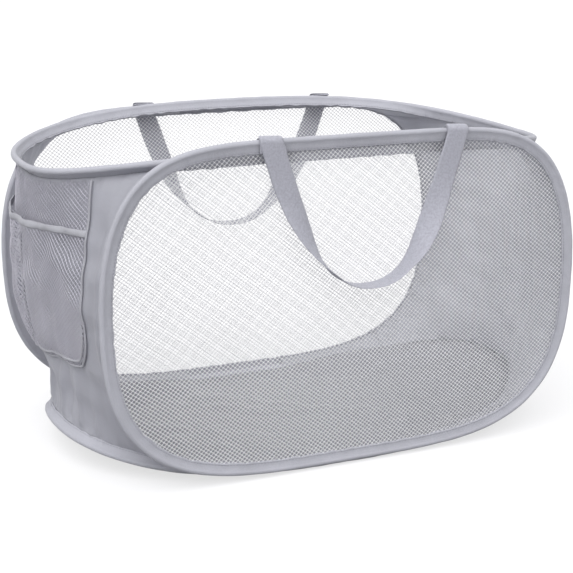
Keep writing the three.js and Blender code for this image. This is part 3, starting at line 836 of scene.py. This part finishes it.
around = Stations(base_hoop, leg_of_base, base_spokes)
edge = around.points + around.legs * cloth_inset
middle = np.array([base_shift, base_centre_depth, 0.0])
shares = np.linspace(0.0, 1.0, base_rings) ** base_ring_power
plan = middle[None, None] + (edge[None] - middle) * shares[:, None, None]
lift = smooth((shares - base_flat_share) / (1 - base_flat_share)) ** base_lift_power
z = base_low + (edge[None, :, 2] - base_low) * lift[:, None]
x, y = plan[..., 0], plan[..., 1]
held = smooth((1 - shares) / base_held_share)[:, None]
rise = base_wave * swells(x, y, 41, base_waves, *base_turn) * held
rise += base_fine_wave * swells(x, y, 42, base_fine_waves) * held
gather = ripple(around, 43, base_gather_waves)
rise += base_gather * gather[None] * np.exp(-((1 - shares) / base_gather_share) ** 2)[:, None] * held
ends = ramp(np.abs(x - base_shift) / base_half_length, base_end_shares)
rise += base_end_wave * ends * np.abs(swells(x, y, 44, base_end_waves, *base_end_turn)) * held
z = np.maximum(z + rise, base_lowest)
piece = add_grid("base_cloth", np.stack([x, y, z], axis=-1), looks["base_cloth"],
                 np.append(shares, 1.0), np.linspace(0, 1, base_spokes + 1), False, True)
dress(piece, "bottom", "base_panel")
thicken(piece, cloth_thickness)


# End panels

class Edge:
    """Part of a hoop's end, read at even shares of its length."""

    def __init__(self, curve, side, reach, change):
        self.curve = curve if side > 0 else (lambda offset: curve(pi - offset))
        self.reach, self.change = reach, change

    def at(self, shares):
        return self.along(even_angles(self.curve, -end_reach, self.reach, shares))

    def along(self, angles):
        return self.change(self.curve(angles))


def side_line(edge, low, high, shares):
    """The edge up one side: from the foot's corner along a hoop to the rim's."""
    points = edge.at(np.clip((shares - start_share) / (1 - 2 * start_share), 0, 1))
    first, last = shares < start_share, shares > 1 - start_share
    along = (shares[first] / start_share)[:, None]
    points[first] = low * (1 - along) + points[first] * along
    along = ((shares[last] - 1) / start_share + 1)[:, None]
    points[last] = points[last] * (1 - along) + high * along
    return points


def beside(name, inward, across_panel):
    """Moves points of a hoop along its binding's legs, and level across the panel."""
    around = stations[name]

    def change(points):
        nearest = np.linalg.norm(points[:, None] - around.points[None], axis=2).argmin(axis=1)
        return points + around.legs[nearest] * inward + backward * across_panel
    return change


def end_edges(side):
    return [Edge(curve, side, reach, beside(name, inset, gap)) for name, curve, reach, inset, gap in (
        ("base", base_hoop, end_reach, cloth_inset, 0.0),
        ("rim", rim_hoop, end_rim_reach, cloth_inset, 0.0),
        ("front", front_hoop, end_reach, end_side_inset, end_side_gap),
        ("back", back_hoop, end_reach, end_side_inset, -end_side_gap),
    )]


def patch(side):
    """A taut surface between the four hoops at one end."""
    foot, top, front, back = end_edges(side)
    low, high = (edge.at(np.array([0.0, 1.0])) for edge in (foot, top))
    grid = None
    for level in range(end_levels):
        scale = 2 ** (end_levels - 1 - level)
        s, t = np.linspace(0, 1, end_columns // scale + 1), np.linspace(0, 1, end_rows // scale + 1)
        near, far = side_line(front, low[0], high[0], t), side_line(back, low[1], high[1], t)
        if grid is None:
            grid = near[:, None] * (1 - s)[None, :, None] + far[:, None] * s[None, :, None]
        else:
            fine = np.zeros((len(t), len(s), 3))
            fine[::2, ::2] = grid
            fine[1::2, ::2] = (grid[1:] + grid[:-1]) / 2
            fine[:, 1::2] = (fine[:, 2::2] + fine[:, :-2:2]) / 2
            grid = fine
        grid[:, 0], grid[:, -1], grid[0], grid[-1] = near, far, foot.at(s), top.at(s)
        for _ in range(relax_passes // (level + 1) ** 2):
            inner = (grid[:-2, 1:-1] + grid[2:, 1:-1] + grid[1:-1, :-2] + grid[1:-1, 2:]) / 4
            grid[1:-1, 1:-1] = inner
    return grid


def corner_strips(side):
    """Narrow strips that close the corners, each between two hoops that come together."""
    foot, top, front, back = end_edges(side)
    turned = np.linspace(0, 1, corner_rows)
    reach = end_reach + turned * corner_turn
    rim_reach = end_rim_reach + turned * corner_rim_turn
    across = np.linspace(0, 1, corner_columns)[None, :, None]
    pairs = (
        (foot.along(-reach), front.along(-reach)),
        (foot.along(reach), back.along(-reach)),
        (top.along(-reach), front.along(reach)),
        (top.along(rim_reach), back.along(reach)),
    )
    return [first[:, None] * (1 - across) + second[:, None] * across for first, second in pairs]


def end_surface(side, seed):
    grid = patch(side)
    s, t = np.meshgrid(np.linspace(0, 1, end_columns + 1), np.linspace(0, 1, end_rows + 1))
    domed = smooth(s / end_near_share) * smooth((1 - s) / end_far_share)
    crowned = np.clip(np.sin(pi * np.maximum(t, 0.5)), 0, 1) ** end_swell_power
    domed *= smooth(t / end_low_share) * crowned
    grid[..., 0] += side * (end_swell + end_far_swell * ramp(s, far_swell_shares)) * domed
    normals = side * unit(np.cross(np.gradient(grid, axis=1), np.gradient(grid, axis=0)) + 1e-12)
    y, z = grid[..., 1], grid[..., 2]
    lines = ((t * end_span, y), ((1 - t) * end_span, y), (s * end_span, z), ((1 - s) * end_span, z))
    edge = np.minimum.reduce([distance for distance, _ in lines])
    soft = smooth(edge / end_soft)
    rise = end_wave * soft * swells(y, z, seed, end_waves)
    rise += end_fine_wave * soft * swells(y, z, seed + 1, end_fine_waves)
    for (distance, along), (number, height, reach) in zip(lines, end_gathers):
        slanted = distance * slant_share
        waves = swells(along, slanted, seed + number, gather_waves, spread=gather_spread)
        rise += height * waves * np.exp(-distance / reach) * smooth(distance / gather_start)
        fine = swells(along, slanted, seed + number + 10, tuck_waves, spread=tuck_spread)
        rise += tuck * fine * (np.exp(-distance / tuck_reach) * smooth(distance / tuck_start))
    for at_share, lean_share, low, high, height, width in end_folds[side]:
        along = smooth((t - low) / fold_shares[0]) * (1 - smooth((t - high) / fold_shares[1]))
        rise += height * along * np.exp(-((s - at_share - lean_share * t) / width) ** 2)
    return grid + normals * (rise * smooth(edge / end_held))[..., None], normals


def add_end(name, side, seed):
    grid, normals = end_surface(side, seed)
    points, faces, start = [], [], 0
    for part in (grid, *corner_strips(side)):
        points.append(part.reshape(-1, 3))
        faces.append(grid_faces(*part.shape[:2])[0] + start)
        start += len(points[-1])
    points, faces = np.concatenate(points), np.concatenate(faces)
    piece = add_mesh(f"{name}_cloth", points, faces, looks["nylon_cloth"])
    thicken(piece, cloth_thickness)
    dress(piece, "bottom", name)
    return piece, grid, normals


left_end, left_grid, left_out = add_end("left_end_panel", -1, 51)
right_end, _, _ = add_end("right_end_panel", 1, 71)
folding = [left_end, right_end]


# Pocket and net strip on the left end

def read_grid(field, s, t):
    rows, columns = field.shape[0] - 1, field.shape[1] - 1
    s, t = np.clip(s, 0, 1), np.clip(t, 0, 1)
    i, j = np.minimum((s * columns).astype(int), columns - 1), np.minimum((t * rows).astype(int), rows - 1)
    a, b = (s * columns - i)[..., None], (t * rows - j)[..., None]
    low = field[j, i] * (1 - a) + field[j, i + 1] * a
    high = field[j + 1, i] * (1 - a) + field[j + 1, i + 1] * a
    return low * (1 - b) + high * b


def over_end(s, t, distance):
    """Points over the outside of the left end, at a distance from its cloth."""
    return read_grid(left_grid, s, t) + unit(read_grid(left_out, s, t)) * np.asarray(distance)[..., None]


def across_pocket(s):
    return np.clip((s - pocket_front_share) / (pocket_back_share - pocket_front_share), 0, 1)


def hem_share(s):
    """Height share of the hem's lower edge."""
    fall = np.where(s < hem_crest_share, hem_near_fall_share, hem_far_fall_share)
    return pocket_hem_share - fall * (s - hem_crest_share) ** 2


def foot_share(s):
    return pocket_foot_share + pocket_foot_rise_share * np.clip(0.5 - s, 0, None)


def bulge_at(s, t):
    """How far the pocket stands off the end, most towards its far side."""
    across = across_pocket(s)
    up = np.clip((t - foot_share(s)) / (hem_share(s) - foot_share(s)), 0, pocket_over_share)
    sides = smooth(across / pocket_side_share) ** pocket_spread * np.sqrt(1 - across ** pocket_side_power)
    crown = np.sin(pi * np.clip(pocket_round_share * up, 0, 1)) ** pocket_spread
    out = pocket_bulge * sides * crown
    at, lean, width = ridge_shares
    ridge = pocket_ridge * np.exp(-((across - at - lean * up) / width) ** 2) * smooth(up * ridge_rise)
    soft = pocket_wave * swells(s * end_width, t * end_height, 91, pocket_waves) * np.sin(pi * across)
    return np.maximum(out + ridge + soft * np.clip(up, 0, 1), 0.0)


def corner_rise(distance, radius):
    """How far a rounded corner lies above its foot, at a distance from its side."""
    return radius - np.sqrt(np.clip(radius ** 2 - np.clip(radius - distance, 0, None) ** 2, 0, None))


def pocket_foot_at(s):
    """Height share of the pocket's foot, which turns up in a rounded corner at both sides."""
    width = (pocket_back_share - pocket_front_share) * end_width
    near, far = across_pocket(s) * width, (1 - across_pocket(s)) * width
    drop = np.maximum(corner_rise(near, pocket_near_corner), corner_rise(far, pocket_far_corner))
    return foot_share(s) + drop / end_height


def add_end_net(name, node, inside, distance):
    """A net over the left end, wherever inside says so of its shares."""
    middle = np.array([(pocket_front_share + pocket_back_share) / 2, net_middle_share])
    size = np.array([end_width, end_height]) / pocket_net_stretch
    spots, faces, knotted = lattice_cells(pocket_net_reach, lambda c: inside(*(middle + c / size).T))
    s, t = (middle + spots / size).T
    points = over_end(s, t, distance(s, t) + knot_height * knotted)
    piece = dress(add_mesh(name, points, faces, looks["pocket_cord"], shaded=False), "bottom",
                  node)
    folding.append(piece)


def add_cord(name, path, radius, node, flatness):
    """A sewn cord along an open path, closed at its ends."""
    tangents = unit(np.gradient(path, axis=0))
    out = unit(leftward - tangents * (tangents @ leftward)[:, None])
    wide = np.cross(tangents, out)
    angles = full_turn * np.arange(cord_sides) / cord_sides
    size = np.full(len(path), radius)
    size[[0, -1]] = radius * cord_end_share
    ring = (path[:, None] + out[:, None] * (np.cos(angles)[None, :, None] * size[:, None, None])
            + wide[:, None] * (np.sin(angles)[None, :, None] * size[:, None, None] * flatness))
    points = ring.reshape(-1, 3)
    faces = grid_faces(len(path), cord_sides, False, True)[0]
    if volume_of(points, faces) < 0:
        faces = faces[:, ::-1]
    start = np.arange(cord_sides)
    caps = [start.tolist(), (len(points) - cord_sides + start[::-1]).tolist()]
    piece = add_mesh(name, points, faces.tolist() + caps, looks["pocket_tape"])
    folding.append(dress(piece, "bottom", node))


def rounded_foot(inward):
    """Shares along the pocket's foot and round its two corners, at a distance inside its edge."""
    front = front_cord_share + inward / end_width
    back = back_cord_share - inward / end_width
    near, far = pocket_near_corner - inward, pocket_far_corner - inward * foot_far_share
    turn = np.linspace(0, pi / 2, foot_turn_rows)
    rise = np.linspace(foot_end_share, 0, foot_end_rows)[:-1]
    along = np.linspace(front + near / end_width, back - far / end_width, foot_cord_rows)[1:-1]
    s = np.concatenate([
        front + 0 * rise, front + near * (1 - np.cos(turn)) / end_width, along,
        back - far * (1 - np.cos(turn[::-1])) / end_width, back + 0 * rise,
    ])
    t = np.concatenate([
        near / end_height + rise, near * (1 - np.sin(turn)) / end_height, 0 * along,
        far * (1 - np.sin(turn[::-1])) / end_height, far / end_height + rise[::-1],
    ])
    return s, t + foot_share(s) + inward / end_height


def between_sides(s):
    margin = side_margin_share
    return (s > pocket_front_share - margin) & (s < pocket_back_share + margin)

def in_pocket(s, t):
    over_foot = t > pocket_foot_at(s) + pocket_foot_gap / end_height
    return between_sides(s) & over_foot & (t < hem_share(s) + hem_margin_share)

def in_strip(s, t):
    return between_sides(s) & (t > hem_share(s) - hem_margin_share) & (t < strip_top_share)

def out_of_pocket(s, t):
    return pocket_stand + bulge_at(s, t)

def out_of_strip(s, t):
    return strip_stand + strip_wave * np.abs(swells(s * end_width, t * end_height, 95, strip_waves))

add_end_net("pocket_net_cloth", "pocket_net", in_pocket, out_of_pocket)
add_end_net("end_net_strip_cloth", "end_net_strip", in_strip, out_of_strip)

steps = np.linspace(0, 1, hem_rows)[:, None]
s = np.tile(np.linspace(front_cord_share, back_cord_share, hem_columns), (hem_rows, 1))
t = hem_share(s) + hem_height_share * steps
out = hem_stand + bulge_at(s, t) + hem_crown * np.sin(pi * steps)
out += hem_wave * swells(s * end_width, t * end_height, 97, hem_waves)
hem = add_grid("pocket_hem_band", over_end(s, t, out), looks["pocket_tape"],
               np.linspace(0, hem_size[0], hem_rows), np.linspace(0, hem_size[1], hem_columns))
thicken(hem, hem_thickness)
folding.append(dress(hem, "bottom", "pocket_hem"))

for side, share, corner in (
    ("front", front_cord_share, pocket_near_corner), ("back", back_cord_share, pocket_far_corner),
):
    low = float(foot_share(share)) + corner / end_height + cord_start_share
    up = np.linspace(low, strip_top_share, side_cord_rows)
    path = over_end(np.full(len(up), share), up, np.full(len(up), cord_stand))
    add_cord(f"pocket_{side}_cord", path, side_cord_radius, f"pocket_{side}_piping", side_cord_flatness)
for number, inward in enumerate(foot_cord_insets):
    s, t = rounded_foot(inward)
    path = over_end(s, t, cord_stand + (bulge_at(s, t) if number else 0.0) + 0 * s)
    add_cord(f"pocket_foot_cord_{number + 1}", path, foot_cord_radius,
             None if number else "pocket_foot_piping", foot_cord_flatness)


# Handles

def strap_section():
    """Flat webbing with rounded selvedges, as corners right round it."""
    w = np.linspace(-1, 1, strap_columns + 1)
    crown = np.sqrt(np.clip(1 - np.abs(w) ** selvedge_power, 0, 1)) * (1 - selvedge_share) + selvedge_share
    upper = np.stack([w * strap_width / 2, crown * strap_thickness / 2], axis=1)
    lower = np.stack([w[::-1] * strap_width / 2, -crown * strap_thickness / 2], axis=1)
    return np.concatenate([upper, lower])


def add_handle(name, body, half, shift, depth, top, outward, seed):
    def curve(shares):
        rise = np.abs(shares) ** strap_power * strap_drop
        return np.stack([shares * half, np.zeros(len(shares)), rise], 1)

    fine = np.linspace(-1, 1, strap_samples)
    lengths = run_of(curve(fine))
    shares = np.interp(np.linspace(0, lengths[-1], strap_stations + 1), lengths, fine)
    tangents = unit(curve(shares + tangent_step) - curve(shares - tangent_step))
    ends = ramp(np.abs(shares), strap_end_shares)[:, None]
    tangents = unit(tangents * (1 - ends) + upward * np.sign(shares)[:, None] * ends)
    start, end = strap_turn_shares
    turned = smooth((start - np.abs(shares)) / (start - end))
    angle = (pi / 2 * turned)[:, None]
    flat = unit(np.cross(tangents, backward))
    width = flat * np.cos(angle) + backward * np.sin(angle)
    face = np.cross(tangents, width)
    reach = tape_nose + fit + tab_thickness + fit + strap_thickness / 2
    centre = curve(shares)
    centre[:, 0] += shift
    centre[:, 1] = depth + outward * (reach + strap_stand_off * np.sin(angle[:, 0]))
    centre[:, 2] += top - strap_drop
    section = strap_section()
    wide, thick = section[:, 0], section[:, 1]
    wobble = 1 + strap_wobble_share * np.sin(full_turn * shares * strap_wobbles + seed)[:, None]
    grid = (centre[:, None] + width[:, None] * (wide[None] * wobble)[..., None]
            + face[:, None] * thick[None, :, None])
    turns = np.linspace(0, crown_wrap, crown_rings + 1)[1:]
    bent = []
    for side, row in ((-1, 0), (1, -1)):
        out = np.stack([0 * turns, outward * np.cos(turns), np.sin(turns)], axis=1)
        sign = np.sign(face[row, 1] * outward)
        lift = crown_tilt * wide[None] * side * np.sin(turns)[:, None]
        away = reach + sign * thick[None] + lift
        ring = np.array([shift + side * half, depth, top])[None, None] + out[:, None] * away[..., None]
        across = np.sign(width[row, 0]) * wide
        bent.append(ring - leftward * across[None, :, None])
    grid = np.concatenate([bent[0][::-1], grid, bent[1]])
    crown_length = reach * crown_wrap
    along = np.concatenate([
        np.linspace(0, crown_length, crown_rings, endpoint=False),
        crown_length + np.linspace(0, lengths[-1], strap_stations + 1),
        crown_length + lengths[-1] + np.linspace(0, crown_length, crown_rings + 1)[1:],
    ])
    rows, columns = grid.shape[:2]
    k = np.arange(strap_columns)
    cap = np.stack([k, k + 1, columns - 2 - k, columns - 1 - k], axis=1)
    caps = np.concatenate([cap[:, ::-1], cap + (rows - 1) * columns])
    piece = add_grid(f"{name}_webbing", grid, looks["webbing_cloth"], along, run_round(section),
                     False, True, caps)
    dress(piece, body, name)


def add_tab(name, body, x, depth, top, outward, wrap):
    """Webbing folded over a hoop's top, from its outside to its crown or beyond."""
    middle = tape_nose + fit + tab_thickness / 2
    lowest = [(middle, -tab_drop * (1 - step / tab_rows)) for step in range(tab_rows)]
    angles = np.linspace(0, wrap, tab_wrap_rows)
    path = np.array(lowest + [(middle * cos(a), middle * sin(a)) for a in angles])
    half = strap_width / 2
    wide = np.linspace(-half, half, tab_columns)
    out, up = path[:, 0][:, None], path[:, 1][:, None]
    grid = np.stack(np.broadcast_arrays(x + wide[None], depth + outward * out, top + up), axis=-1)
    piece = add_grid(f"{name}_webbing", grid, looks["webbing_cloth"], run_of(path), wide + half)
    thicken(piece, tab_thickness)
    dress(piece, body, name)


for side, (half, shift), depth, top, outward, wrap, seed in (
    ("front", front_handle, front_depth, front_top, -1, front_tab_wrap, 1),
    ("back", back_handle, back_depth, back_top, 1, back_tab_wrap, 2),
):
    add_handle(f"{side}_handle", f"{side}_strap", half, shift, depth, top, outward, seed)
    for end, x in (("left", shift - half), ("right", shift + half)):
        add_tab(f"{side}_{end}_tab", side, x, depth, top, outward, wrap)

for piece in folding:
    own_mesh(piece)


# Floor, wide soft lamps far off, and camera

def directly_seen(nodes):
    """1 where a ray comes from the camera, a reflection or through glass."""
    path = make(nodes, "LightPath").outputs
    seen = math_node(nodes, "MAXIMUM", path["Is Camera Ray"], path["Is Glossy Ray"])
    return math_node(nodes, "MAXIMUM", seen, path["Is Transmission Ray"])


corners = [(x * floor_half, y * floor_half, 0) for x, y in ((-1, -1), (1, -1), (1, 1), (-1, 1))]
material, nodes, shader = new_material("floor", floor_roughness, specular=0.0)
lift = math_node(nodes, "MULTIPLY", directly_seen(nodes), floor_lift)
fill(shader, Base_Color=(*floor_colour, 1), Emission_Color=(1, 1, 1, 1), Emission_Strength=lift)
add_mesh("floor", corners, [(0, 1, 2, 3)], material, shaded=False)

world = bpy.data.worlds.new("studio")
world.use_nodes = True
nodes = world.node_tree.nodes
strength = make(nodes, "MapRange", To_Min=world_light, To_Max=1.0, Value=directly_seen(nodes))
fill(nodes["Background"], Color=(1, 1, 1, 1), Strength=strength.outputs[0])
bpy.context.scene.world = world


def aim(thing, place, forward):
    thing.location = place
    thing.rotation_euler = Vector(forward).to_track_quat("-Z", "Y").to_euler()


for name, (place, spread, energy) in lamps.items():
    lamp = bpy.data.lights.new(name, "SUN")
    lamp.angle = radians(spread)
    lamp.energy = energy
    aim(add_object(name, lamp), place, -Vector(place))

camera = bpy.data.cameras.new("camera")
camera.lens = camera_lens
camera.sensor_width = sensor_width
camera.clip_end = camera_clip
viewer = add_object("camera", camera)
aim(viewer, camera_place, camera_forward)
bpy.context.scene.camera = viewer
bpy.context.scene.view_settings.view_transform = "Standard"

bpy.context.view_layer.update()
